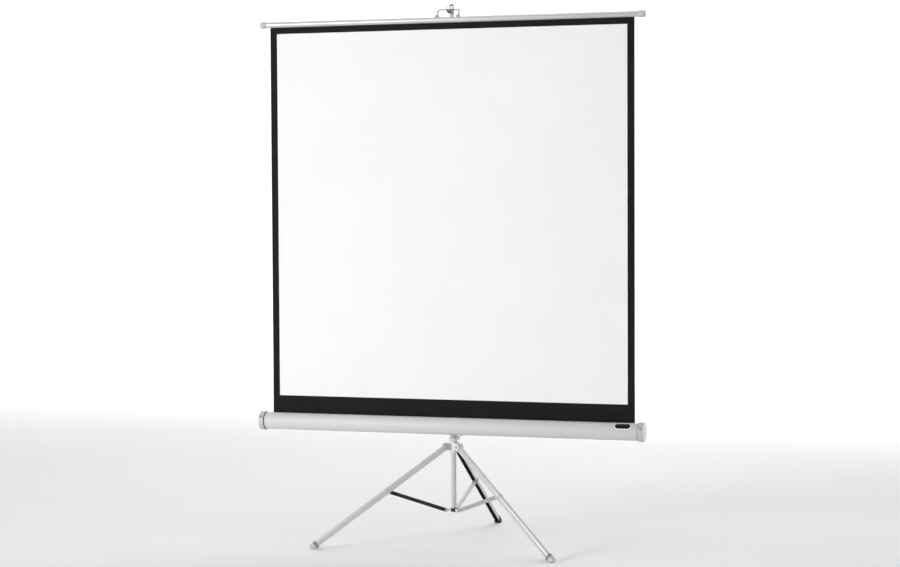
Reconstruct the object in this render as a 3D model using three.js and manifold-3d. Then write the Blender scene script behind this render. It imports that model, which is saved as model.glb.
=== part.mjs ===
// Tripod projection screen: a roll-up screen in a tubular case, carried on a folding tripod.
// Millimetres, +Z up, +Y away from the viewer, +X to the viewer's right.
// The pieces are laid out about the column's axis, then the whole is moved so that the
// origin is at the bottom centre of its bounding box.
import * as THREE from 'three';
import { mergeVertices } from 'three/addons/utils/BufferGeometryUtils.js';
import Module from 'manifold-3d';

const wasm = await Module();
wasm.setup();

// ---------------------------------------------------------------- driving dimensions
const GAP = 0.3;                 // working clearance between neighbouring pieces
const SEG = 28;                  // facets round a tube

// column
const COL_R = 10.75, COL_WALL = 1.2, COL_Z0 = 137, COL_Z1 = 1400;
// tripod linkage: leg pivots and brace pivots on one radius, brace length = distance between them
const LEG_AZ = [208.7, 328.7, 88.7];   // front left, front right, rear
const PIV_R = 32, LEG_Z = 410, BRACE_Z = 143;
const BRACE_L = LEG_Z - BRACE_Z;
const LEG_A = THREE.MathUtils.degToRad(54.6);   // leg from the vertical, open
const LEG_END = 703;             // pivot to the end of the foot
const LEG_W = 19, LEG_D = 24, LEG_T = 1.6, LEG_LIP = 3.4, LEG_ROUND = 8.5;
const CHEEK_IN = LEG_W / 2 + 0.6, CHEEK_T = 3, CHEEK_R = 15;   // forked lugs of the collar
const BRACE_W = 11, BRACE_D = 15, BRACE_T = 1.4;
const ROLL_R = 7.6, ROLL_HALF = 6.2;              // roller that runs inside the leg's channel
// carriage and case
const CASE_Y = -80, CASE_Z = 504, CASE_R = 35.5, CASE_WALL = 1.3, CASE_HALF = 836;
const CAP_R = 39.5, CAP_L = 23, CAP_SPIGOT = 13;
const ROLLER_R = 23, ROLLER_WALL = 1.5;
const SLEEVE_R = 14.2, SLEEVE_Z0 = 446, SLEEVE_Z1 = 574;
// screen
const FAB_T = 0.6, FAB_W = 1580, FAB_Y = CASE_Y + ROLLER_R + 0.35 + FAB_T / 2;
// top bar
const BAR_Z = 2183, BAR_R = 12, BAR_WALL = 1.3, BAR_HALF = 834, BARCAP_R = 14, BARCAP_L = 27;
// bail
const WIRE_R = 2.3, BAIL_HALF = 46, BAIL_TOP_Y = -35, BAIL_TOP_Z = 2226;
// extension
const EXT_R = 8.5, EXT_WALL = 1.1, EXT_Z0 = 1225, EXT_Z1 = 2200;

// ---------------------------------------------------------------- helpers
function toManifold(geo) {
  const g = geo.clone();
  g.deleteAttribute('normal');
  g.deleteAttribute('uv');
  const m = mergeVertices(g, 1e-4);
  const idx = m.index.array, tri = [];
  for (let i = 0; i < idx.length; i += 3) {
    const a = idx[i], b = idx[i + 1], c = idx[i + 2];
    if (a !== b && b !== c && a !== c) tri.push(a, b, c);
  }
  return new wasm.Manifold(new wasm.Mesh({
    numProp: 3,
    vertProperties: new Float32Array(m.attributes.position.array),
    triVerts: new Uint32Array(tri),
  }));
}
function toGeometry(man) {
  const mesh = man.getMesh();
  const g = new THREE.BufferGeometry();
  const n = mesh.vertProperties.length / mesh.numProp, pos = new Float32Array(n * 3);
  for (let i = 0; i < n; i++) for (let k = 0; k < 3; k++) pos[3 * i + k] = mesh.vertProperties[i * mesh.numProp + k];
  g.setAttribute('position', new THREE.BufferAttribute(pos, 3));
  g.setIndex(new THREE.BufferAttribute(new Uint32Array(mesh.triVerts), 1));
  g.computeVertexNormals();
  return g;
}
const V = (x, y, z) => new THREE.Vector3(x, y, z);
const I4 = () => new THREE.Matrix4();
const at = (x, y, z) => I4().makeTranslation(x, y, z);
const basis = (ex, ey, ez, o) => I4().makeBasis(ex, ey, ez).setPosition(o);
// local z along the given axis
const ALONG_Z = at(0, 0, 0);
const ALONG_X = basis(V(0, 1, 0), V(0, 0, 1), V(1, 0, 0), V(0, 0, 0));
const ALONG_Y = basis(V(0, 0, 1), V(1, 0, 0), V(0, 1, 0), V(0, 0, 0));
const mul = (...ms) => ms.reduce((a, b) => a.clone().multiply(b));
function put(geo, mat) { return toManifold(geo.clone().applyMatrix4(mat)); }
// a body of revolution about local z: profile is [r, z] pairs, closed on itself
function spun(profile, seg = SEG, mat = ALONG_Z) {
  const pts = profile.map(([r, z]) => new THREE.Vector2(r, z));
  const first = profile[0], last = profile[profile.length - 1];
  const open = first[0] < 1e-9 && last[0] < 1e-9;
  if (!open) pts.push(pts[0].clone());
  const g = new THREE.LatheGeometry(pts, seg);
  // the lathe turns about y; bring y to z
  g.applyMatrix4(basis(V(1, 0, 0), V(0, 0, 1), V(0, -1, 0), V(0, 0, 0)));
  return put(g, mat);
}
const ring = (ri, ro, z0, z1, seg = SEG, mat = ALONG_Z) => spun([[ri, z0], [ro, z0], [ro, z1], [ri, z1]], seg, mat);
const rod = (r, z0, z1, seg = 16, mat = ALONG_Z) => spun([[0, z0], [r, z0], [r, z1], [0, z1]], seg, mat);
function block(x0, x1, y0, y1, z0, z1, mat = ALONG_Z) {
  const g = new THREE.BoxGeometry(x1 - x0, y1 - y0, z1 - z0);
  g.translate((x0 + x1) / 2, (y0 + y1) / 2, (z0 + z1) / 2);
  return put(g, mat);
}
function prism(shape, z0, z1, mat = ALONG_Z, curveSegments = 6) {
  const g = new THREE.ExtrudeGeometry(shape, { depth: z1 - z0, bevelEnabled: false, curveSegments });
  g.translate(0, 0, z0);
  return put(g, mat);
}
function poly(pts) {
  const s = new THREE.Shape();
  pts.forEach(([x, y], i) => (i ? s.lineTo(x, y) : s.moveTo(x, y)));
  s.closePath();
  return s;
}
// outline points of a circle arc, degrees
function arc(cx, cy, r, a0, a1, n) {
  const out = [];
  for (let i = 0; i <= n; i++) {
    const a = THREE.MathUtils.degToRad(a0 + (a1 - a0) * i / n);
    out.push([cx + r * Math.cos(a), cy + r * Math.sin(a)]);
  }
  return out;
}
const group = new THREE.Group();
group.name = 'tripod_projection_screen';
function node(name, man, colour, roughness, metalness) {
  const mesh = new THREE.Mesh(toGeometry(man), new THREE.MeshStandardMaterial({ color: colour, roughness, metalness }));
  mesh.name = name;
  group.add(mesh);
}
const SILVER = [0xc6c8ca, 0.42, 0.55], STEEL = [0xb8babd, 0.32, 0.9], PALE = [0xd9dadb, 0.55, 0.0],
  GREY = [0x9fa1a3, 0.5, 0.1], BLACK = [0x1b1b1d, 0.55, 0.0], DARK = [0x3b3c3f, 0.45, 0.4], WHITE = [0xf3f3f1, 0.9, 0.0];
const add = (name, man, look) => node(name, man, ...look);

// ---------------------------------------------------------------- column
add('column_tube', ring(COL_R - COL_WALL, COL_R, COL_Z0, COL_Z1), SILVER);
add('column_foot', spun([[0, 133], [11.4, 133], [12.4, 134], [12.4, COL_Z0 - GAP], [COL_R - COL_WALL - GAP, COL_Z0 - GAP],
  [COL_R - COL_WALL - GAP, COL_Z0 + 16], [0, COL_Z0 + 16]], SEG), PALE);

// lugs of a hub: a flat tongue from the ring out to each pivot
function hub(z0, z1, ro, pivotZ, rootHalf, tipR, y0, y1, holeR) {
  let m = ring(COL_R + GAP, ro, z0, z1, 28);
  for (const az of LEG_AZ) {
    const a = THREE.MathUtils.degToRad(az), er = V(Math.cos(a), Math.sin(a), 0), et = V(-Math.sin(a), Math.cos(a), 0);
    // local: x radial, y up, z against the tangent
    const mat = basis(er, V(0, 0, 1), et.clone().negate(), V(0, 0, 0));
    const side = poly([[COL_R + 2.4, pivotZ - rootHalf], [PIV_R - tipR * 0.4, pivotZ - tipR * 0.94],
      ...arc(PIV_R, pivotZ, tipR, -80, 80, 9), [PIV_R - tipR * 0.4, pivotZ + tipR * 0.94], [COL_R + 2.4, pivotZ + rootHalf]]);
    m = m.add(prism(side, -y1, -y0, mat));
    m = m.subtract(rod(holeR, -y1 - 2, -y0 + 2, 20, mul(mat, at(PIV_R, pivotZ, 0))));
  }
  return m.subtract(rod(COL_R + GAP, z0 - 20, z1 + 20, 28));
}
// collar: a ring with a fork of two round cheeks for each leg
let collar = ring(COL_R + GAP, 17, 384, 431, 28);
for (const az of LEG_AZ) {
  const a = THREE.MathUtils.degToRad(az), er = V(Math.cos(a), Math.sin(a), 0), et = V(-Math.sin(a), Math.cos(a), 0);
  const mat = basis(er, V(0, 0, 1), et.clone().negate(), V(0, 0, 0));
  const side = poly([[4, LEG_Z - 12], [PIV_R - CHEEK_R * 0.5, LEG_Z - CHEEK_R * 0.9], ...arc(PIV_R, LEG_Z, CHEEK_R, -84, 84, 14),
    [PIV_R - CHEEK_R * 0.5, LEG_Z + CHEEK_R * 0.9], [4, LEG_Z + 12]]);
  for (const q of [CHEEK_IN, -CHEEK_IN - CHEEK_T]) collar = collar.add(prism(side, q, q + CHEEK_T, mat));
  collar = collar.subtract(rod(3.3, -30, 30, 20, mul(mat, at(PIV_R, LEG_Z, 0))));
}
collar = collar.subtract(rod(COL_R + GAP, 360, 450, 28));
// set screw of the collar, between two legs on the right rear
const screwAz = THREE.MathUtils.degToRad(30);
const screwMat = basis(V(-Math.sin(screwAz), Math.cos(screwAz), 0), V(0, 0, 1), V(Math.cos(screwAz), Math.sin(screwAz), 0), V(0, 0, 390));
collar = collar.subtract(rod(2.8, 8, 24, 16, screwMat));
add('leg_collar', collar, PALE);
add('leg_collar_screw', rod(2.5, COL_R + 0.35, 17.4, 16, screwMat).add(rod(4.2, 17.35, 20.6, 6, screwMat)), DARK);
add('brace_hub', hub(137, 151, 14, BRACE_Z, 5.8, 5.4, -3.7, 3.3, 2.8), BLACK);

// ---------------------------------------------------------------- legs and braces
function frameOf(az, angle, z) {
  const a = THREE.MathUtils.degToRad(az), er = V(Math.cos(a), Math.sin(a), 0), et = V(-Math.sin(a), Math.cos(a), 0);
  const up = V(0, 0, 1);
  const t = er.clone().multiplyScalar(Math.cos(angle)).addScaledVector(up, Math.sin(angle));
  const s = er.clone().multiplyScalar(Math.sin(angle)).addScaledVector(up, -Math.cos(angle));
  return { er, et, t, s, mat: basis(et, t, s, er.clone().multiplyScalar(PIV_R).setZ(z)) };
}
// local axes of a leg: x across, y outward and up, z down its length from the pivot
function channelShape(w, d, wall, lip, round) {
  const h = w / 2, y1 = d / 2, ri = Math.max(round - wall, 0.8);
  return poly([[-h, -y1], [-h + lip, -y1], [-h + lip, -y1 + wall], [-h + wall, -y1 + wall],
    ...arc(-h + round, y1 - round, ri, 180, 90, 4), ...arc(h - round, y1 - round, ri, 90, 0, 4),
    [h - wall, -y1 + wall], [h - lip, -y1 + wall], [h - lip, -y1], [h, -y1],
    ...arc(h - round, y1 - round, round, 0, 90, 5), ...arc(-h + round, y1 - round, round, 90, 180, 5)]);
}
const SIDE = basis(V(0, 0, 1), V(0, 1, 0), V(-1, 0, 0), V(0, 0, 0));   // profile x along the leg, y outward
function legChannel() {
  let m = prism(channelShape(LEG_W, LEG_D, LEG_T, LEG_LIP, LEG_ROUND), -14, LEG_END - 14);
  const hr = LEG_D / 2 + 1.6;
  const head = poly([...arc(0, 0, hr, 90, 236.4, 12), [-hr * 0.55, -hr - 1], [LEG_END, -hr - 1], [LEG_END, hr]]);
  m = m.intersect(prism(head, -20, 20, SIDE));
  m = m.subtract(rod(3.3, -20, 20, 14, ALONG_X));
  return m;
}
function outline(w, d, round, n) {
  const h = w / 2, y1 = d / 2;
  return [[-h, -y1], [h, -y1], ...arc(h - round, y1 - round, round, 0, 90, n), ...arc(-h + round, y1 - round, round, 90, 180, n)];
}
function legFoot() {
  const o = 2.2, g = GAP;
  let m = prism(poly(outline(LEG_W + 2 * o, LEG_D + 2 * o, LEG_ROUND + 2, 5)), LEG_END - 31, LEG_END);
  // ribs
  for (const z of [LEG_END - 31, LEG_END - 25.5, LEG_END - 20])
    m = m.add(prism(poly(outline(LEG_W + 2 * o + 1.6, LEG_D + 2 * o + 1.6, LEG_ROUND + 2.6, 5)), z, z + 2.6));
  m = m.subtract(prism(poly(outline(LEG_W + 2 * g, LEG_D + 2 * g, LEG_ROUND + g, 5)), LEG_END - 60, LEG_END - 14 + g));
  return m;
}
function legClip() {
  const o = 1.7, g = GAP, z0 = 302, z1 = 317;
  let m = prism(poly(outline(LEG_W + 2 * o, LEG_D + 2 * o, LEG_ROUND + 2, 5)), z0, z1);
  m = m.add(prism(poly(outline(LEG_W + 2 * o + 1.2, LEG_D + 2 * o + 1.2, LEG_ROUND + 2.4, 5)), z0, z0 + 3));
  m = m.add(prism(poly(outline(LEG_W + 2 * o + 1.2, LEG_D + 2 * o + 1.2, LEG_ROUND + 2.4, 5)), z1 - 3, z1));
  m = m.subtract(prism(poly(outline(LEG_W + 2 * g, LEG_D + 2 * g, LEG_ROUND + g, 5)), z0 - 5, z1 + 5));
  return m.subtract(block(-6.8, 6.8, -30, -6, z0 - 5, z1 + 5));
}
function braceBar() {
  const h = BRACE_W / 2, d = BRACE_D / 2, L = BRACE_L;
  // web on the -x side, flanges above and below, open towards +x
  const sec = poly([[-h, -d], [h, -d], [h, -d + BRACE_T], [-h + BRACE_T, -d + BRACE_T], [-h + BRACE_T, d - BRACE_T], [h, d - BRACE_T], [h, d], [-h, d]]);
  let m = prism(sec, -10, L + 10);
  const end = poly([...arc(L, 0, d, -90, 90, 10), ...arc(0, 0, d, 90, 270, 10)]);
  m = m.intersect(prism(end, -20, 20, SIDE));
  // flat riveted tongues at both ends
  m = m.subtract(block(-h + BRACE_T, 20, -20, 20, -20, 12.5)).subtract(block(-h + BRACE_T, 20, -20, 20, L - 10, L + 20));
  m = m.subtract(rod(2.8, -20, 20, 12, ALONG_X)).subtract(rod(2.8, -20, 20, 16, mul(at(0, 0, L), ALONG_X)));
  return m;
}
const floorCut = block(-1500, 1500, -1500, 1500, -400, 0);
LEG_AZ.forEach((az, i) => {
  const n = i + 1, leg = frameOf(az, LEG_A, LEG_Z), brace = frameOf(az, 2 * LEG_A, BRACE_Z);
  const move = (man, f) => toManifold(toGeometry(man).applyMatrix4(f.mat));
  add(`leg_${n}_channel`, move(legChannel(), leg), SILVER);
  add(`leg_${n}_foot`, move(legFoot(), leg).subtract(floorCut), i === 2 ? DARK : GREY);
  add(`leg_${n}_clip`, move(legClip(), leg), PALE);
  // pivot rivets: a shank with two heads
  const k = CHEEK_IN + CHEEK_T + GAP, kb = i === 1 ? 5 : 2.4;
  add(`leg_${n}_pivot_rivet`, move(rod(3, -k - 0.05, k + 0.05, 14, ALONG_X).add(rod(5.6, k, k + kb, 14, ALONG_X)).add(rod(5.6, -k - 2.4, -k, 14, ALONG_X)), leg), BLACK);
  add(`brace_${n}_bar`, move(braceBar(), brace), i === 0 ? DARK : GREY);
  const h = BRACE_W / 2;
  add(`brace_${n}_hub_rivet`, move(rod(2.5, -h - GAP - 0.05, 3.65, 12, ALONG_X).add(rod(4.4, 3.6, 5.4, 12, ALONG_X)).add(rod(4.4, -h - GAP - 1.8, -h - GAP, 12, ALONG_X)), brace), STEEL);
  // roller with its axle: wheels on both sides of the brace's tongue
  const rollerMat = mul(at(0, 0, BRACE_L), ALONG_X), inner = ROLL_HALF;
  add(`brace_${n}_roller`, move(rod(2.5, -h - GAP - 0.1, -h + BRACE_T + GAP + 0.1, 16, rollerMat)
    .add(rod(ROLL_R, -inner, -h - GAP, 16, rollerMat)).add(rod(ROLL_R, -h + BRACE_T + GAP, inner, 16, rollerMat)), brace), BLACK);
});

// ---------------------------------------------------------------- column head and extension
let head = spun([[COL_R + GAP, 1370], [15, 1370], [16.4, 1373], [16.4, 1416], [14.5, 1420], [EXT_R + GAP, 1420],
  [EXT_R + GAP, COL_Z1 + GAP], [COL_R + GAP, COL_Z1 + GAP]], SEG);
const knobMat = mul(at(0, 0, 1410), ALONG_Y);
head = head.add(rod(7, 12, 24, 20, knobMat)).subtract(rod(3.3, 6, 30, 20, knobMat)).subtract(rod(EXT_R + GAP, 1401, 1430, SEG));
add('column_head', head, BLACK);
const lobes = [];
for (let i = 0; i < 36; i++) {
  const a = i * 10, r = 13.2 + 1.8 * Math.cos(THREE.MathUtils.degToRad(a * 6));
  lobes.push([r * Math.cos(THREE.MathUtils.degToRad(a)), r * Math.sin(THREE.MathUtils.degToRad(a))]);
}
add('extension_knob', rod(3, EXT_R + 0.35, 27, 16, knobMat).add(rod(8, 24.4, 28, 20, knobMat)).add(prism(poly(lobes), 27.9, 40, knobMat)), BLACK);
add('extension_tube', ring(EXT_R - EXT_WALL, EXT_R, EXT_Z0, EXT_Z1, 28), STEEL);
add('extension_guide', spun([[0, EXT_Z0 - 8], [8.2, EXT_Z0 - 8], [9.2, EXT_Z0 - 6], [9.2, EXT_Z0 - GAP], [EXT_R - EXT_WALL - GAP, EXT_Z0 - GAP],
  [EXT_R - EXT_WALL - GAP, EXT_Z0 + 18], [0, EXT_Z0 + 18]], 28), PALE);
let plug = spun([[0, EXT_Z1 - 20], [EXT_R - EXT_WALL - GAP, EXT_Z1 - 20], [EXT_R - EXT_WALL - GAP, EXT_Z1 + GAP], [9.6, EXT_Z1 + GAP], [9.6, EXT_Z1 + 11], [8.8, EXT_Z1 + 12], [0, EXT_Z1 + 12]], 28);
plug = plug.subtract(rod(2.5, EXT_Z1 - 4, EXT_Z1 + 20, 16));
add('extension_plug', plug, PALE);
// hook bracket: a folded strip with two cheeks, each with a notch for the bail, joined by a bridge at their tops
const hz = EXT_Z1 + 12 + GAP;
const cheek = poly([[11, hz], [11, 2226], [5, 2240], [4, 2251.5], [0, 2252], [-3.5, 2241], [-8, 2229], [-32, 2229], [-32, 2224.4], [-33.2, 2223.2],
  [-36.8, 2223.2], [-38, 2224.4], [-38, 2235], [-37, 2239], [-39.5, 2240.5], [-41.6, 2239], [-42.3, 2230], [-41.3, 2219], [-36, 2215], [-14, hz]]);
const YZ = basis(V(0, 1, 0), V(0, 0, 1), V(1, 0, 0), V(0, 0, 0));
let hook = prism(cheek, -7.6, -5.6, YZ).add(prism(cheek, 5.6, 7.6, YZ)).add(block(-7.6, 7.6, -14, 11, hz, hz + 2));
hook = hook.add(block(-7.6, 7.6, 0.2, 3.9, 2243.5, 2251.4)).subtract(rod(2.6, hz - 5, hz + 8, 16));
add('hook_bracket', hook, DARK);
add('hook_screw', rod(2.3, EXT_Z1 - 3, hz + 2 + GAP + 0.1, 16).add(rod(4.2, hz + 2 + GAP, hz + 2 + GAP + 3, 20)).subtract(rod(2.2, hz + 4, hz + 8, 6)), STEEL);

// ---------------------------------------------------------------- carriage
add('carriage_sleeve', ring(SLEEVE_R - 1.4, SLEEVE_R, SLEEVE_Z0, SLEEVE_Z1), SILVER);
const bi = COL_R + 0.35, bs = SLEEVE_R - 1.4 - GAP;
let lower = spun([[bi, 435.5], [19.2, 435.5], [20.4, 436.7], [20.4, 443.2], [18.2, SLEEVE_Z0 - GAP], [bs, SLEEVE_Z0 - GAP], [bs, 472], [bi, 472]], 28);
// ears for the release lever
lower = lower.add(block(13, 23.2, -10, 10, 437, 444).subtract(rod(15, 430, 450, 28)));
for (const s of [-1, 1]) {
  const y0 = s > 0 ? 7.6 : -10, y1 = s > 0 ? 10 : -7.6;
  const ear = poly([[15, 440], [23.2, 440], [23.2, 451], ...arc(19, 451, 4.2, 0, 180, 8), [14.8, 449]]);
  lower = lower.add(prism(ear, -y1, -y0, basis(V(1, 0, 0), V(0, 0, 1), V(0, -1, 0), V(0, 0, 0))));
}
const leverMat = mul(at(19, 0, 451), ALONG_Y);
lower = lower.subtract(rod(SLEEVE_R + GAP, SLEEVE_Z0 - GAP, 480, 28).subtract(rod(bs, 440, 490, 28)));
lower = lower.subtract(rod(2.3, -14, 14, 16, leverMat));
add('carriage_lower_bush', lower, PALE);
add('carriage_upper_bush', spun([[bi, SLEEVE_Z1 - 24], [bs, SLEEVE_Z1 - 24], [bs, SLEEVE_Z1 + GAP], [16, SLEEVE_Z1 + GAP], [16, 579], [15, 580], [bi, 580]], 24), PALE);
let bracket = ring(SLEEVE_R + GAP, 17.6, 482, 526, 28);
const pivotMat = mul(at(0, 0, CASE_Z), ALONG_Y);
bracket = bracket.add(rod(15, -30, -12, 32, pivotMat).subtract(rod(SLEEVE_R + GAP, 470, 540, 28)));
bracket = bracket.subtract(rod(4.3, -34, -19, 20, pivotMat));
// clamping ears at the back
bracket = bracket.add(block(-5, 5, 16, 26, 490, 518).subtract(rod(SLEEVE_R + GAP, 470, 540, 28)));
add('carriage_bracket', bracket, STEEL);
add('case_pivot_stud', rod(4, -43.4, -19.3, 20, pivotMat), STEEL);
add('lever_pin', rod(2, -11.6, 11.6, 16, leverMat), STEEL);
const leverSide = basis(V(1, 0, 0), V(0, 0, 1), V(0, -1, 0), V(0, 0, 0));
const leverShape = poly([[21, 447.6], [60, 464.6], [64, 467.5], [64, 469.8], [61.5, 470.6], [57, 469.2], [23, 454.6], [19, 455.1], [16.2, 453.9], [15.2, 451], [16.2, 448.2], [18.6, 447]]);
add('release_lever', prism(leverShape, -7.2, 7.2, leverSide).subtract(rod(2.4, -14, 14, 16, leverMat)), PALE);

// ---------------------------------------------------------------- case
const AX = mul(at(0, CASE_Y, CASE_Z), ALONG_X);    // local z along the case
const tubeEnd = CASE_HALF - CAP_L - GAP;
let caseTube = ring(CASE_R - CASE_WALL, CASE_R, -tubeEnd, tubeEnd, 48, AX);
caseTube = caseTube.subtract(block(-797, 797, FAB_Y - 3, FAB_Y + 3, CASE_Z + 14, CASE_Z + 60));
add('case_tube', caseTube, SILVER);
let saddle = block(-34, 34, -60, -30.3, CASE_Z - 26, CASE_Z + 26).subtract(rod(CASE_R + GAP, -100, 100, 48, AX));
saddle = saddle.subtract(block(-60, 60, FAB_Y - 4, FAB_Y + 4, CASE_Z + 14, CASE_Z + 60)).subtract(rod(4.3, -60, -20, 20, pivotMat));
add('case_saddle', saddle, STEEL);
const screwA = THREE.MathUtils.degToRad(27);
const plateA = 44;
for (const side of [-1, 1]) {
  const w = side < 0 ? 'left' : 'right';
  const flip = side < 0 ? mul(AX, I4().makeRotationX(Math.PI)) : AX;   // local z points outward
  let cap = spun([[0, CASE_HALF - CAP_L - CAP_SPIGOT], [CASE_R - CASE_WALL - GAP, CASE_HALF - CAP_L - CAP_SPIGOT], [CASE_R - CASE_WALL - GAP, CASE_HALF - CAP_L],
    [CAP_R - 0.6, CASE_HALF - CAP_L], [CAP_R, CASE_HALF - CAP_L + 1], [CAP_R, CASE_HALF - 4], [CAP_R - 1.2, CASE_HALF - 1.2], [CAP_R - 4, CASE_HALF], [0, CASE_HALF]], 40, flip);
  cap = cap.subtract(rod(4.3, CASE_HALF - CAP_L - CAP_SPIGOT - 2, CASE_HALF - CAP_L - 1, 20, flip));
  const sm = basis(V(1, 0, 0), V(0, Math.sin(screwA), Math.cos(screwA)).multiplyScalar(side > 0 ? 1 : 1), V(0, -Math.cos(screwA), Math.sin(screwA)), V(side * (CASE_HALF - 11), CASE_Y, CASE_Z));
  cap = cap.subtract(rod(1.9, 30, 60, 12, sm));
  add(`case_cap_${w}`, cap, PALE);
  add(`case_cap_screw_${w}`, rod(1.6, 31, CAP_R + 0.45, 12, sm).add(rod(3.2, CAP_R + 0.35, CAP_R + 1.8, 16, sm)), DARK);
}
// blank plate on the front of the case, near its right end
const pm = basis(V(1, 0, 0), V(0, Math.sin(THREE.MathUtils.degToRad(plateA)), Math.cos(THREE.MathUtils.degToRad(plateA))),
  V(0, -Math.cos(THREE.MathUtils.degToRad(plateA)), Math.sin(THREE.MathUtils.degToRad(plateA))), V(750.5, CASE_Y, CASE_Z));
const stadium = poly([...arc(20, 0, 12, -90, 90, 10), ...arc(-20, 0, 12, 90, 270, 10)]);
add('case_blank_plate', prism(stadium, 20, 50, pm).intersect(ring(CASE_R + GAP, CASE_R + 1.6, 700, 810, 72, AX)), BLACK);
// roller and its torsion spring
const rollerHalf = 788;
add('roller_tube', ring(ROLLER_R - ROLLER_WALL, ROLLER_R, -rollerHalf, rollerHalf, 28, AX), STEEL);
for (const side of [-1, 1]) {
  const w = side < 0 ? 'left' : 'right', flip = side < 0 ? mul(AX, I4().makeRotationX(Math.PI)) : AX;
  const rp = ROLLER_R - ROLLER_WALL - GAP;
  add(`roller_plug_${w}`, ring(4.5, rp, rollerHalf - 16, rollerHalf - GAP, 20, flip).add(ring(4.5, ROLLER_R, rollerHalf + GAP, rollerHalf + 3, 20, flip)).add(ring(4.5, rp - 3, rollerHalf - 2, rollerHalf + 2, 20, flip)), BLACK);
  const inner = side < 0 ? 740 : 330;
  add(side < 0 ? 'roller_axle_left' : 'spring_shaft_right', rod(4, inner, CASE_HALF - CAP_L - 1.5, 16, flip), STEEL);
}
class Helix extends THREE.Curve {
  constructor(r, x0, x1, turns) { super(); Object.assign(this, { r, x0, x1, turns }); }
  getPoint(t, out = new THREE.Vector3()) {
    const a = 2 * Math.PI * this.turns * t;
    return out.set(this.x0 + (this.x1 - this.x0) * t, CASE_Y + this.r * Math.cos(a), CASE_Z + this.r * Math.sin(a));
  }
}
const wireShape = (r, n) => poly(arc(0, 0, r, 0, 360 * (n - 1) / n, n - 1));
add('roller_spring', toManifold(new THREE.ExtrudeGeometry(wireShape(1.4, 4), { steps: 96, bevelEnabled: false, extrudePath: new Helix(11, 350, 760, 12) })), STEEL);

// ---------------------------------------------------------------- screen and top bar
add('screen_fabric', block(-FAB_W / 2, FAB_W / 2, FAB_Y - FAB_T / 2, FAB_Y + FAB_T / 2, CASE_Z, BAR_Z - 1), WHITE);
const BX = mul(at(0, FAB_Y, BAR_Z), ALONG_X);
const barEnd = BAR_HALF - 12;
let bar = ring(BAR_R - BAR_WALL, BAR_R, -barEnd, barEnd, 28, BX);
bar = bar.subtract(block(-794, 794, FAB_Y - 1.5, FAB_Y + 1.5, BAR_Z - 20, BAR_Z - 5));
add('top_bar_tube', bar, SILVER);
for (const side of [-1, 1]) {
  const flip = side < 0 ? mul(BX, I4().makeRotationX(Math.PI)) : BX, bo = BAR_HALF;
  add(`top_bar_cap_${side < 0 ? 'left' : 'right'}`, spun([[0, barEnd + GAP], [BAR_R + GAP, barEnd + GAP], [BAR_R + GAP, bo - BARCAP_L], [BARCAP_R - 0.5, bo - BARCAP_L], [BARCAP_R, bo - BARCAP_L + 1],
    [BARCAP_R, bo - 3], [BARCAP_R - 3, bo], [0, bo]], 24, flip), PALE);
}
// bail: a bent wire that leans back to the hook
const dir = V(0, BAIL_TOP_Y - FAB_Y, BAIL_TOP_Z - BAR_Z), reach = dir.length();
dir.normalize();
const bailPoint = (x, e) => V(x, FAB_Y + dir.y * e, BAR_Z + dir.z * e);
const path = new THREE.CurvePath();
const cr = 10;
path.add(new THREE.LineCurve3(bailPoint(-BAIL_HALF, 15), bailPoint(-BAIL_HALF, reach - cr)));
path.add(new THREE.QuadraticBezierCurve3(bailPoint(-BAIL_HALF, reach - cr), bailPoint(-BAIL_HALF, reach), bailPoint(-BAIL_HALF + cr, reach)));
path.add(new THREE.LineCurve3(bailPoint(-BAIL_HALF + cr, reach), bailPoint(BAIL_HALF - cr, reach)));
path.add(new THREE.QuadraticBezierCurve3(bailPoint(BAIL_HALF - cr, reach), bailPoint(BAIL_HALF, reach), bailPoint(BAIL_HALF, reach - cr)));
path.add(new THREE.LineCurve3(bailPoint(BAIL_HALF, reach - cr), bailPoint(BAIL_HALF, 15)));
// swept by hand so that the straight runs stay straight
function sweep(points, r, n) {
  const pos = [], idx = [], normal = V(0, dir.z, -dir.y);     // normal of the bail's plane
  points.forEach((p, i) => {
    const a = points[Math.max(i - 1, 0)], b = points[Math.min(i + 1, points.length - 1)];
    const tan = b.clone().sub(a).normalize(), side = tan.clone().cross(normal).normalize();
    for (let k = 0; k < n; k++) {
      const w = 2 * Math.PI * k / n;
      const q = p.clone().addScaledVector(side, r * Math.cos(w)).addScaledVector(normal, r * Math.sin(w));
      pos.push(q.x, q.y, q.z);
    }
  });
  const m = points.length;
  for (let i = 0; i + 1 < m; i++) for (let k = 0; k < n; k++) {
    const a = i * n + k, b = i * n + (k + 1) % n, c = a + n, d = b + n;
    idx.push(a, c, b, b, c, d);
  }
  for (let k = 1; k + 1 < n; k++) { idx.push(0, k, k + 1); idx.push((m - 1) * n, (m - 1) * n + k + 1, (m - 1) * n + k); }
  const g = new THREE.BufferGeometry();
  g.setAttribute('position', new THREE.Float32BufferAttribute(pos, 3));
  g.setIndex(idx);
  const man = toManifold(g);
  if (man.volume() > 0) return man;
  for (let i = 0; i < idx.length; i += 3) { const t = idx[i + 1]; idx[i + 1] = idx[i + 2]; idx[i + 2] = t; }
  g.setIndex(idx);
  return toManifold(g);
}
const bailPts = [bailPoint(-BAIL_HALF, 15)];
for (const c of [path.curves[1], path.curves[3]]) for (let i = 0; i <= 6; i++) bailPts.push(c.getPoint(i / 6));
bailPts.push(bailPoint(BAIL_HALF, 15));
add('bail_wire', sweep(bailPts, WIRE_R, 8), STEEL);
const lean = THREE.MathUtils.radToDeg(Math.atan2(dir.z, dir.y));
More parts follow.
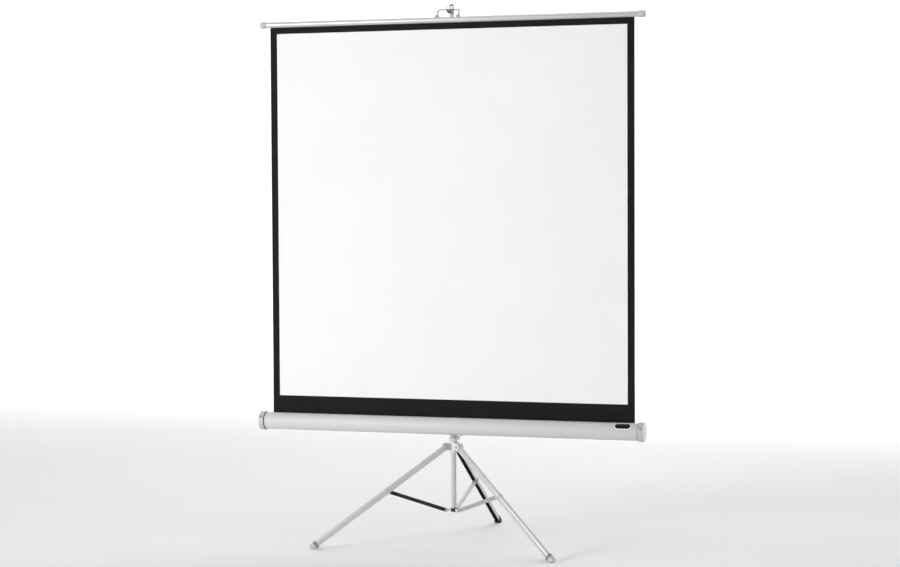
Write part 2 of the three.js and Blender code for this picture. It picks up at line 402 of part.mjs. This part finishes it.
for (const side of [-1, 1]) {
  const sector = poly([...arc(0, 0, 20.5, lean - 34, lean + 34, 8), ...arc(0, 0, BAR_R + GAP, lean + 50, lean - 50, 10)]);
  const cm = basis(V(0, 1, 0), V(0, 0, 1), V(1, 0, 0), V(side * BAIL_HALF, FAB_Y, BAR_Z));
  const hole = basis(V(1, 0, 0), V(0, dir.z, -dir.y), dir.clone(), bailPoint(side * BAIL_HALF, 0));
  add(`bail_clip_${side < 0 ? 'left' : 'right'}`, prism(sector, -7, 7, cm).subtract(rod(WIRE_R + GAP, 14.6, 30, 14, hole)), GREY);
}

// ---------------------------------------------------------------- to the shared frame
const box = new THREE.Box3().setFromObject(group);
const shift = V(0, -(box.min.y + box.max.y) / 2, -box.min.z);
for (const m of group.children) m.geometry.translate(shift.x, shift.y, shift.z);

export default group;
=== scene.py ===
import math
import bmesh
import bpy
from mathutils import Matrix, Vector


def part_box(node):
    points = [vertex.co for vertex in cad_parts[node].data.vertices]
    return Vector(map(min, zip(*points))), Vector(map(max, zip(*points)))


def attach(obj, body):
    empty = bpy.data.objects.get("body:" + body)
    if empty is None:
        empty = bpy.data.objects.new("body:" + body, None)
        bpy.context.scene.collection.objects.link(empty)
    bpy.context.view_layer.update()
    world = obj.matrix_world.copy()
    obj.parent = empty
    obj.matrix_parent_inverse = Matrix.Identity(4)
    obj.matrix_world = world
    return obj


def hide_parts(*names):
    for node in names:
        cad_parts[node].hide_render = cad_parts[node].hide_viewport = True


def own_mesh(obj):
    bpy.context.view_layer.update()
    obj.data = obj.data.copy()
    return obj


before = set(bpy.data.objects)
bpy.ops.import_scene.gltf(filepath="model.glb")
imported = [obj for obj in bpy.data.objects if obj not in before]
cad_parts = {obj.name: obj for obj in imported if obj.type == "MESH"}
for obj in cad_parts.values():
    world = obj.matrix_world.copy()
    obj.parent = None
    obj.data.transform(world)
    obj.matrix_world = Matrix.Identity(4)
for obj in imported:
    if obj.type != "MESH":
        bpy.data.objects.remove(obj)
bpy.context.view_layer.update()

# ------------------------------------------------------------------ dimensions, metres, shared frame
lo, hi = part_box("column_tube")
YS = (lo[1] + hi[1]) / 2            # the column's axis is at (0, YS)
LEG_AZ = (208.7, 328.7, 88.7)
PIV_R, LEG_Z, BRACE_Z = 0.032, 0.410, 0.143
LEG_END, CHEEK_OUT = 0.703, 0.0131
LEG_A = math.radians(54.6)
CASE_Y, CASE_Z, CASE_R = YS - 0.080, 0.504, 0.0355
CAP_R, CASE_HALF, CAP_L = 0.0395, 0.836, 0.023
FAB_Y = YS - 0.05635
BAR_Z = 2.183
FAB_HALF = 0.790
WHITE_HALF, WHITE_TOP, WHITE_LOW = 0.760, 2.1445, 0.6113
FAB_LOW, FAB_TOP = 0.504, 2.182


# ------------------------------------------------------------------ materials
def hexlin(h):
    out = []
    for i in (0, 2, 4):
        c = int(h[i:i + 2], 16) / 255
        out.append(c / 12.92 if c <= 0.04045 else ((c + 0.055) / 1.055) ** 2.4)
    return (*out, 1.0)


def material(name, colour, rough=0.5, metal=0.0, tone=0.06, tone_scale=9.0, grain=900.0, bump=0.05, depth=0.0002,
             rough_spread=0.08, streak=None, coat=0.0, sheen=0.0, specular=0.5):
    """A painted, moulded or woven surface: slow tone drift, fine grain in the relief and in the roughness."""
    m = bpy.data.materials.new(name)
    m.use_nodes = True
    t = m.node_tree
    n, l = t.nodes, t.links
    b = n["Principled BSDF"]
    b.inputs["Metallic"].default_value = metal
    b.inputs["Coat Weight"].default_value = coat
    b.inputs["Coat Roughness"].default_value = 0.25
    b.inputs["Sheen Weight"].default_value = sheen
    b.inputs["Specular IOR Level"].default_value = specular
    co = n.new("ShaderNodeTexCoord")
    src = co.outputs["Object"]
    if streak:
        mp = n.new("ShaderNodeMapping")
        mp.inputs["Scale"].default_value = streak
        l.new(src, mp.inputs["Vector"])
        fine_src = mp.outputs["Vector"]
    else:
        fine_src = src
    slow = n.new("ShaderNodeTexNoise")
    slow.inputs["Scale"].default_value = tone_scale
    slow.inputs["Detail"].default_value = 4
    l.new(src, slow.inputs["Vector"])
    fine = n.new("ShaderNodeTexNoise")
    fine.inputs["Scale"].default_value = grain
    fine.inputs["Detail"].default_value = 3
    l.new(fine_src, fine.inputs["Vector"])
    ramp = n.new("ShaderNodeValToRGB")
    ramp.color_ramp.elements[0].position = 0.3
    ramp.color_ramp.elements[1].position = 0.7
    c = colour if len(colour) == 4 else (*colour, 1.0)
    ramp.color_ramp.elements[0].color = (*[max(0, v * (1 - tone)) for v in c[:3]], 1)
    ramp.color_ramp.elements[1].color = (*[min(1, v * (1 + tone)) for v in c[:3]], 1)
    l.new(slow.outputs["Fac"], ramp.inputs["Fac"])
    l.new(ramp.outputs["Color"], b.inputs["Base Color"])
    r = n.new("ShaderNodeMapRange")
    r.inputs["From Min"].default_value = 0.3
    r.inputs["From Max"].default_value = 0.7
    r.inputs["To Min"].default_value = max(0.03, rough - rough_spread)
    r.inputs["To Max"].default_value = min(1.0, rough + rough_spread)
    l.new(fine.outputs["Fac"], r.inputs["Value"])
    l.new(r.outputs["Result"], b.inputs["Roughness"])
    bp = n.new("ShaderNodeBump")
    bp.inputs["Strength"].default_value = bump
    bp.inputs["Distance"].default_value = depth
    l.new(fine.outputs["Fac"], bp.inputs["Height"])
    l.new(bp.outputs["Normal"], b.inputs["Normal"])
    return m


def cloth(name, colour, rough, sheen, pitch, relief):
    """Coated screen cloth: a close plain weave under the coating, with a slow tone drift."""
    m = material(name, colour, rough=rough, tone=0.012, tone_scale=3.0, grain=700.0, bump=0.0, sheen=sheen, specular=0.2)
    t = m.node_tree
    n, l = t.nodes, t.links
    b = n["Principled BSDF"]
    co = next(x for x in n if x.type == "TEX_COORD")
    height = None
    for direction in ("X", "Z"):
        w = n.new("ShaderNodeTexWave")
        w.bands_direction = direction
        w.inputs["Scale"].default_value = pitch
        w.inputs["Distortion"].default_value = 0.6
        w.inputs["Detail"].default_value = 1.0
        l.new(co.outputs["Object"], w.inputs["Vector"])
        if height is None:
            height = w.outputs["Fac"]
        else:
            mx = n.new("ShaderNodeMath")
            mx.operation = "MULTIPLY"
            l.new(height, mx.inputs[0])
            l.new(w.outputs["Fac"], mx.inputs[1])
            height = mx.outputs["Value"]
    bp = n.new("ShaderNodeBump")
    bp.inputs["Strength"].default_value = relief
    bp.inputs["Distance"].default_value = 0.0002
    l.new(height, bp.inputs["Height"])
    l.new(bp.outputs["Normal"], b.inputs["Normal"])
    return m


M = {
    "case": material("case_paint", hexlin("cfd0d1"), rough=0.62, metal=0.12, tone=0.012, tone_scale=5, grain=1500, bump=0.04, depth=0.0001, rough_spread=0.05),
    "silver": material("silver_paint", hexlin("cccdcf"), rough=0.42, metal=0.35, tone=0.03, grain=1600, bump=0.05, depth=0.0001, rough_spread=0.06),
    "inside": material("channel_inside", hexlin("39393b"), rough=0.7, tone=0.2, tone_scale=25, grain=500, bump=0.15, specular=0.25),
    "pale": material("pale_plastic", hexlin("dcdcdb"), rough=0.45, tone=0.02, grain=1300, bump=0.12, depth=0.0001),
    "grey": material("grey_plastic", hexlin("a3a4a6"), rough=0.48, tone=0.05, grain=1200, bump=0.15, depth=0.0001),
    "black": material("black_plastic", hexlin("1c1c1e"), rough=0.5, tone=0.15, grain=1100, bump=0.18, depth=0.0001),
    "steel": material("bright_steel", hexlin("b9bbbe"), rough=0.3, metal=1.0, tone=0.04, grain=260, bump=0.08, depth=0.0001, streak=(1, 1, 14)),
    "wire": material("plated_wire", hexlin("77797c"), rough=0.28, metal=1.0, tone=0.05, grain=700, bump=0.05, depth=0.0001),
    "dark": material("blackened_steel", hexlin("2b2c2e"), rough=0.42, metal=0.5, tone=0.12, grain=900, bump=0.12, depth=0.0001),
    # the braces are one part: these darker copies of the silver paint are painted shade
    "brace_black": material("brace_black", hexlin("303032"), rough=0.4, metal=0.1, tone=0.15, grain=900, bump=0.1, depth=0.0001),
    "brace_grey": material("brace_grey", hexlin("a9abad"), rough=0.4, metal=0.45, tone=0.05, grain=1200, bump=0.06, depth=0.0001),
    "plate": material("plate_black", hexlin("0a0a0b"), rough=0.42, tone=0.1, grain=900, bump=0.05, specular=0.22),
    "rim": material("plate_rim", hexlin("fafafa"), rough=0.4, metal=0.0, tone=0.03, grain=900, bump=0.04),
    "foot": material("foot_plastic", hexlin("c6c6c5"), rough=0.5, tone=0.04, grain=1200, bump=0.15, depth=0.0001),
    # darker grey for one collar fork: painted shade
    "fork_painted_shade": material("collar_fork_shade_grey", hexlin("b0b1b3"), rough=0.5, tone=0.05, grain=1200, bump=0.15, depth=0.0001),
    # darker colour for the foot grooves: painted shade in the recesses
    "groove": material("foot_groove_painted_shade", hexlin("6f7072"), rough=0.6, tone=0.06, grain=1200, bump=0.12, depth=0.0001),
    "cap_ring": material("cap_ring", hexlin("c0c1c2"), rough=0.55, metal=0.1, tone=0.02, grain=1300, bump=0.08, depth=0.0001),
    # lighter colour for the caps' end faces: painted light
    "cap_end_painted_light": material("cap_end_painted_light", hexlin("f0f0ef"), rough=0.5, tone=0.01, grain=1300, bump=0.08, depth=0.0001),
    "hook": material("plated_hook", hexlin("66686b"), rough=0.34, metal=0.85, tone=0.05, grain=700, bump=0.06, depth=0.0001),
    "screen": cloth("screen_white", hexlin("f1f1f0"), 0.82, 0.0, 420.0, 0.05),
    "border": cloth("screen_black", hexlin("101011"), 0.78, 0.06, 420.0, 0.10),
    "backing": cloth("screen_backing", hexlin("29292b"), 0.75, 0.1, 420.0, 0.12),
}


# ------------------------------------------------------------------ mesh helpers
def finish_mesh(ob, sharp=33.0):
    me = ob.data
    for p in me.polygons:
        p.use_smooth = True
    me.set_sharp_from_angle(angle=math.radians(sharp))
    return ob


def new_object(name, bm, mats, sharp=33.0):
    me = bpy.data.meshes.new(name)
    bm.to_mesh(me)
    bm.free()
    ob = bpy.data.objects.new(name, me)
    bpy.context.scene.collection.objects.link(ob)
    for m in mats:
        me.materials.append(m)
    return finish_mesh(ob, sharp)


def from_node(node, mats, body, bevel=0.0005, segments=2, pick=None, sharp=33.0, angle=30.0):
    """The node's own shape with its facets joined, its edges eased and smooth normals."""
    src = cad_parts[node]
    bm = bmesh.new()
    bm.from_mesh(src.data)
    bmesh.ops.transform(bm, matrix=src.matrix_world, verts=bm.verts)
    bmesh.ops.remove_doubles(bm, verts=bm.verts, dist=2e-6)
    bmesh.ops.dissolve_limit(bm, angle_limit=math.radians(0.6), verts=bm.verts, edges=bm.edges)
    bm.normal_update()
    if pick:
        for f in bm.faces:
            f.material_index = pick(f.calc_center_median(), f.normal)
    if bevel:
        edges = [e for e in bm.edges if len(e.link_faces) == 2 and e.calc_face_angle(0) > math.radians(angle)]
        bmesh.ops.bevel(bm, geom=edges, offset=bevel, segments=segments, profile=0.6, affect="EDGES", clamp_overlap=True)
    ob = new_object("v_" + node, bm, mats if isinstance(mats, (list, tuple)) else [mats], sharp)
    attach(ob, body)
    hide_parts(node)
    return ob


def lathe(name, profile, origin, axis, mats, body, seg=96, sharp=33.0, closed=True):
    """profile: (radius, distance along axis)."""
    a = Vector(axis).normalized()
    u = a.orthogonal().normalized()
    v = a.cross(u)
    bm = bmesh.new()
    rings = []
    for r, h in profile:
        rings.append([bm.verts.new(Vector(origin) + a * h + (u * math.cos(2 * math.pi * k / seg) + v * math.sin(2 * math.pi * k / seg)) * r) for k in range(seg)])
    pairs = list(zip(rings, rings[1:])) + ([(rings[-1], rings[0])] if closed else [])
    for p, q in pairs:
        for k in range(seg):
            bm.faces.new((p[k], p[(k + 1) % seg], q[(k + 1) % seg], q[k]))
    bmesh.ops.recalc_face_normals(bm, faces=bm.faces)
    ob = new_object(name, bm, mats, sharp)
    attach(ob, body)
    return ob


# ------------------------------------------------------------------ column and tripod
def leg_frame(az, angle, z):
    a = math.radians(az)
    er, et, up = Vector((math.cos(a), math.sin(a), 0)), Vector((-math.sin(a), math.cos(a), 0)), Vector((0, 0, 1))
    t = er * math.cos(angle) + up * math.sin(angle)
    s = er * math.sin(angle) - up * math.cos(angle)
    return er * PIV_R + Vector((0, YS, z)), et, t, s


from_node("column_tube", M["silver"], "stand", bevel=0.0004)
from_node("column_foot", M["pale"], "stand", bevel=0.0006)
def collar_part(c, normal):
    # the fork that carries the front left leg gets a darker grey than the other two: painted shade
    a = math.radians(LEG_AZ[0])
    return 1 if c.x * math.cos(a) + (c.y - YS) * math.sin(a) > 0.0175 else 0


def hub_part(c, normal):
    return 0 if math.hypot(c.x, c.y - YS) < 0.0145 else 1


from_node("leg_collar", [M["pale"], M["fork_painted_shade"]], "stand", bevel=0.0008, pick=collar_part)
from_node("leg_collar_screw", M["dark"], "stand", bevel=0.0004)
from_node("brace_hub", [M["black"], M["pale"]], "stand", bevel=0.0005, pick=hub_part)
from_node("column_head", M["black"], "stand", bevel=0.0006)
from_node("extension_knob", M["black"], "knob", bevel=0.0009)
from_node("extension_tube", M["steel"], "extension", bevel=0.0003)
from_node("extension_plug", M["pale"], "extension", bevel=0.0005)
from_node("hook_bracket", M["hook"], "extension", bevel=0.0004)
from_node("hook_screw", M["steel"], "extension", bevel=0.0003)

for i, az in enumerate(LEG_AZ):
    n = i + 1
    o, et, t, s = leg_frame(az, LEG_A, LEG_Z)

    def inner(c, normal, o=o, et=et, t=t):
        d = c - o
        x, y = d.dot(et), d.dot(t)
        inward = -(et * x + t * y)
        hollow_side = inward.length > 1e-6 and inward.normalized().dot(normal) > 0.25 and abs(x) < 0.0082 and y < 0.0107
        return 1 if hollow_side or (normal.dot(t) < -0.7 and y < -0.0115) else 0

    def foot_part(c, normal, o=o, s=s):
        d = (c - o).dot(s)
        if d < LEG_END - 0.0283:
            return 1
        if d > LEG_END - 0.0004:
            return 2
        # the grooves between the ribs get a darker colour: painted shade in the recesses
        return 3 if 0.0200 < LEG_END - d < 0.0229 or 0.0255 < LEG_END - d < 0.0284 else 0

    def rivet_part(c, normal, o=o, et=et):
        return 1 if (c - o).dot(et) > CHEEK_OUT else 0
    from_node(f"leg_{n}_channel", [M["silver"], M["inside"]], f"leg_{n}", bevel=0.0003, pick=inner)
    from_node(f"leg_{n}_foot", [M["dark"] if i == 2 else M["foot"], M["black"], M["pale"], M["black"] if i == 2 else M["groove"]], f"leg_{n}", bevel=0.0004, pick=foot_part)
    from_node(f"leg_{n}_clip", M["silver"], f"leg_{n}", bevel=0.0004)
    from_node(f"leg_{n}_pivot_rivet", [M["grey"], M["black"] if i == 1 else M["grey"]], "stand", bevel=0.0006, pick=rivet_part)
    ob, bet, bt, bs = leg_frame(az, 2 * LEG_A, BRACE_Z)

    def hollow(c, normal, o=ob, et=bet, t=bt):
        d = c - o
        x, y = d.dot(et), d.dot(t)
        return 1 if (abs(y) < 0.0063 and normal.dot(et) > 0.5 and x < 0) or (abs(abs(y) - 0.0061) < 0.0003 and normal.dot(t) * y < 0 and x > -0.0045) else 0
    # the three braces are one part: the front left one is near-black and the front right one mid grey, both painted
    # shade; the rear one is silver, and its hollow side takes the mid grey, also painted shade
    from_node(f"brace_{n}_bar", [(M["brace_black"], M["brace_grey"], M["silver"])[i], (M["inside"], M["inside"], M["brace_grey"])[i]], f"brace_{n}", bevel=0.0003, pick=hollow)
    from_node(f"brace_{n}_hub_rivet", M["steel"], "stand", bevel=0.0004)
    from_node(f"brace_{n}_roller", M["black"], f"brace_{n}", bevel=0.0004)

# ------------------------------------------------------------------ carriage
from_node("carriage_sleeve", M["silver"], "carriage", bevel=0.0003)
from_node("carriage_lower_bush", M["pale"], "carriage", bevel=0.0006)
from_node("carriage_upper_bush", M["pale"], "carriage", bevel=0.0006)
from_node("carriage_bracket", M["steel"], "carriage", bevel=0.0007)
from_node("lever_pin", M["steel"], "carriage", bevel=0.0003)
from_node("release_lever", M["pale"], "lever", bevel=0.0009)

# ------------------------------------------------------------------ case
from_node("case_tube", M["case"], "case", bevel=0.0003)
from_node("case_saddle", M["steel"], "case", bevel=0.0015, segments=3)
for side, w in ((-1, "left"), (1, "right")):
    # each cap's end face gets a lighter colour than its ring: painted light on the face turned to the side
    from_node(f"case_cap_{w}", [M["cap_ring"], M["cap_end_painted_light"]], "case", bevel=0.0006, pick=lambda c, q, k=side: 1 if q.x * k > 0.6 else 0)
    from_node(f"case_cap_screw_{w}", M["dark"], "case", bevel=0.0004)
    # black ring at the joint between tube and cap: painted shade of the gap
    x = side * (CASE_HALF - CAP_L)
    lathe(f"case_gap_shade_ring_{w}", [(CASE_R + 0.0002, -0.0022), (CASE_R + 0.0024, -0.0018), (CASE_R + 0.0024, -0.0002), (CASE_R + 0.0002, -0.0002)],
          (x, CASE_Y, CASE_Z), (side, 0, 0), [M["black"]], "case", seg=72)
from_node("case_blank_plate", M["plate"], "case", bevel=0.0002)


def plate_rim():
    """A thin raised rim that follows the plate's outline on the round of the case."""
    a0, cx = math.radians(44), 0.7505
    out = []
    for k in range(64):
        q = k / 64 * 2 * math.pi
        sx = 0.020 if math.cos(q) > 0 else -0.020
        out.append((sx, math.cos(q), math.sin(q)))
    bm = bmesh.new()
    rings = []
    for off, r in ((0.0122, CASE_R + 0.0003), (0.0122, CASE_R + 0.0021), (0.0131, CASE_R + 0.0024), (0.0144, CASE_R + 0.0021), (0.0148, CASE_R + 0.0003)):
        ring = []
        for sx, c, s in out:
            ang = a0 + off * s / CASE_R
            ring.append(bm.verts.new((cx + sx + off * c, CASE_Y - r * math.cos(ang), CASE_Z + r * math.sin(ang))))
        rings.append(ring)
    for p, q in list(zip(rings, rings[1:])) + [(rings[-1], rings[0])]:
        for k in range(64):
            bm.faces.new((p[k], p[(k + 1) % 64], q[(k + 1) % 64], q[k]))
    bmesh.ops.recalc_face_normals(bm, faces=bm.faces)
    ob = new_object("case_plate_rim", bm, [M["rim"]], 40)
    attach(ob, "case")


plate_rim()

# ------------------------------------------------------------------ top bar
from_node("top_bar_tube", M["silver"], "top_bar", bevel=0.0003)
for w in ("left", "right"):
    from_node(f"top_bar_cap_{w}", M["cap_ring"], "top_bar", bevel=0.0006)
    from_node(f"bail_clip_{w}", M["grey"], "top_bar", bevel=0.0007)
from_node("bail_wire", M["wire"], "top_bar", bevel=0, sharp=60)


# ------------------------------------------------------------------ screen cloth
def screen():
    """One sheet from the roller to the top bar. Its front is white with black borders, its back dark."""
    xs = sorted({-FAB_HALF, -WHITE_HALF, WHITE_HALF, FAB_HALF, *[round(-WHITE_HALF + 2 * WHITE_HALF * k / 48, 6) for k in range(1, 48)],
                 -0.775, 0.775})
    zs = sorted({FAB_LOW, WHITE_LOW, WHITE_TOP, FAB_TOP, 0.53, 0.56, 0.585, 2.16, *[round(WHITE_LOW + (WHITE_TOP - WHITE_LOW) * k / 48, 6) for k in range(1, 48)]})

    def wave(x, z):
        # the cloth is pulled tight between bar and roller; its sides draw in very slightly and lift
        h = (z - FAB_LOW) / (FAB_TOP - FAB_LOW)
        mid = math.sin(math.pi * h) * min(1.0, max(0.0, (z - 0.56) / 0.2))
        edge = (abs(x) / FAB_HALF) ** 6
        return mid * (0.0005 * math.sin(2.1 * x * math.pi + 1.3) + 0.0003 * math.sin(5.3 * x * math.pi + 2.2 * z) - 0.0004 * edge)
    bm = bmesh.new()
    th = 0.0005
    front = [[bm.verts.new((x, FAB_Y - th / 2 + wave(x, z), z)) for x in xs] for z in zs]
    back = [[bm.verts.new((x, FAB_Y + th / 2 + wave(x, z), z)) for x in xs] for z in zs]
    nx, nz = len(xs), len(zs)
    for j in range(nz - 1):
        for i in range(nx - 1):
            xm, zm = (xs[i] + xs[i + 1]) / 2, (zs[j] + zs[j + 1]) / 2
            white = abs(xm) < WHITE_HALF and WHITE_LOW < zm < WHITE_TOP
            f = bm.faces.new((front[j][i], front[j][i + 1], front[j + 1][i + 1], front[j + 1][i]))
            f.material_index = 0 if white else 1
            f = bm.faces.new((back[j][i], back[j + 1][i], back[j + 1][i + 1], back[j][i + 1]))
            f.material_index = 2
    for j in range(nz - 1):
        for i in (0, nx - 1):
            q = (front[j][i], front[j + 1][i], back[j + 1][i], back[j][i])
            bm.faces.new(q).material_index = 1
    for i in range(nx - 1):
        for j in (0, nz - 1):
            bm.faces.new((front[j][i], front[j][i + 1], back[j][i + 1], back[j][i])).material_index = 1
    bmesh.ops.recalc_face_normals(bm, faces=bm.faces)
    ob = new_object("screen_cloth", bm, [M["screen"], M["border"], M["backing"]], 40)
    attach(ob, "case")
    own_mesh(ob)
    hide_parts("screen_fabric")
    return ob


screen()

# inner pieces keep their CAD shape
for node, key in (("case_pivot_stud", "steel"), ("roller_tube", "steel"), ("roller_plug_left", "black"), ("roller_plug_right", "black"), ("roller_axle_left", "steel"),
                  ("spring_shaft_right", "steel"), ("roller_spring", "steel"), ("extension_guide", "pale")):
    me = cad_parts[node].data
    me.materials.clear()
    me.materials.append(M[key])

# ------------------------------------------------------------------ stage
def stage():
    """A round studio floor that curves up into a wall on every side."""
    prof = [(0.0, 0.0), (4.0, 0.0), (9.0, 0.0), (14.0, 0.0)]
    for k in range(1, 13):
        a = math.radians(90 * k / 12)
        prof.append((14.0 + 6.0 * math.sin(a), 6.0 - 6.0 * math.cos(a)))
    prof.append((20.0, 16.0))
    seg = 96
    bm = bmesh.new()
    mid = bm.verts.new((0, 0, 0))
    rows = [[bm.verts.new((r * math.cos(2 * math.pi * k / seg), r * math.sin(2 * math.pi * k / seg), z)) for k in range(seg)] for r, z in prof[1:]]
    for k in range(seg):
        bm.faces.new((mid, rows[0][k], rows[0][(k + 1) % seg]))
    for p, q in zip(rows, rows[1:]):
        for k in range(seg):
            bm.faces.new((p[k], q[k], q[(k + 1) % seg], p[(k + 1) % seg]))
    m = material("studio_paper", hexlin("f4f4f4"), rough=0.9, tone=0.01, tone_scale=0.6, grain=60, bump=0.02, specular=0.1)
    ob = new_object("studio_floor", bm, [m], 80)


stage()


def area(name, loc, target, sx, sy, power, colour=(1, 1, 1)):
    d = bpy.data.lights.new(name, "AREA")
    d.shape = "RECTANGLE"
    d.size, d.size_y, d.energy, d.color = sx, sy, power, colour
    o = bpy.data.objects.new(name, d)
    o.location = loc
    o.rotation_euler = (Vector(target) - Vector(loc)).to_track_quat("-Z", "Y").to_euler()
    bpy.context.scene.collection.objects.link(o)
    return o


area("key", (-5.0, -7.2, 2.6), (0, 0, 1.2), 3.4, 2.2, 99).data.spread = math.radians(80)
area("fill", (6.0, -5.0, 2.0), (0, 0, 1.1), 2.0, 3.0, 26)
area("back", (0.0, 8.0, 8.0), (0, 18.0, 2.0), 14.0, 2.0, 1250)
area("front", (0.0, -9.0, 9.0), (0, -19.0, 2.0), 14.0, 2.0, 300)
area("side_left", (-8.0, 2.0, 8.0), (-18.0, 3.0, 2.0), 12.0, 2.0, 420)
area("side_right", (8.0, 2.0, 8.0), (18.0, 3.0, 2.0), 12.0, 2.0, 420)
area("floor_wash", (0.0, 0.5, 6.5), (0, 0.5, 0), 6.0, 6.0, 120)
area("floor_far", (0.0, 8.0, 7.5), (0, 8.0, 0), 22.0, 7.0, 900)
w = bpy.data.worlds.new("studio")
w.use_nodes = True
w.node_tree.nodes["Background"].inputs["Color"].default_value = (1, 1, 1, 1)
w.node_tree.nodes["Background"].inputs["Strength"].default_value = 0.06
bpy.context.scene.world = w
bpy.context.scene.view_settings.view_transform = "Standard"

# ------------------------------------------------------------------ camera
cam = bpy.data.cameras.new("camera")
cam.sensor_width = 36.0
cam.sensor_fit = "HORIZONTAL"
cam.lens = 2125.4 / 900 * 36.0
co = bpy.data.objects.new("camera", cam)
r = Vector((0.9498256, 0.3127397, -0.0050209))
u = Vector((-0.0091618, 0.0438641, 0.9989955))
f = Vector((-0.3126458, 0.9488255, -0.0445286))
pos = Vector((2.75978, -8.41387 + YS, 1.48698))
co.matrix_world = Matrix(((r.x, u.x, -f.x, pos.x), (r.y, u.y, -f.y, pos.y), (r.z, u.z, -f.z, pos.z), (0, 0, 0, 1)))
bpy.context.scene.collection.objects.link(co)
bpy.context.scene.camera = co
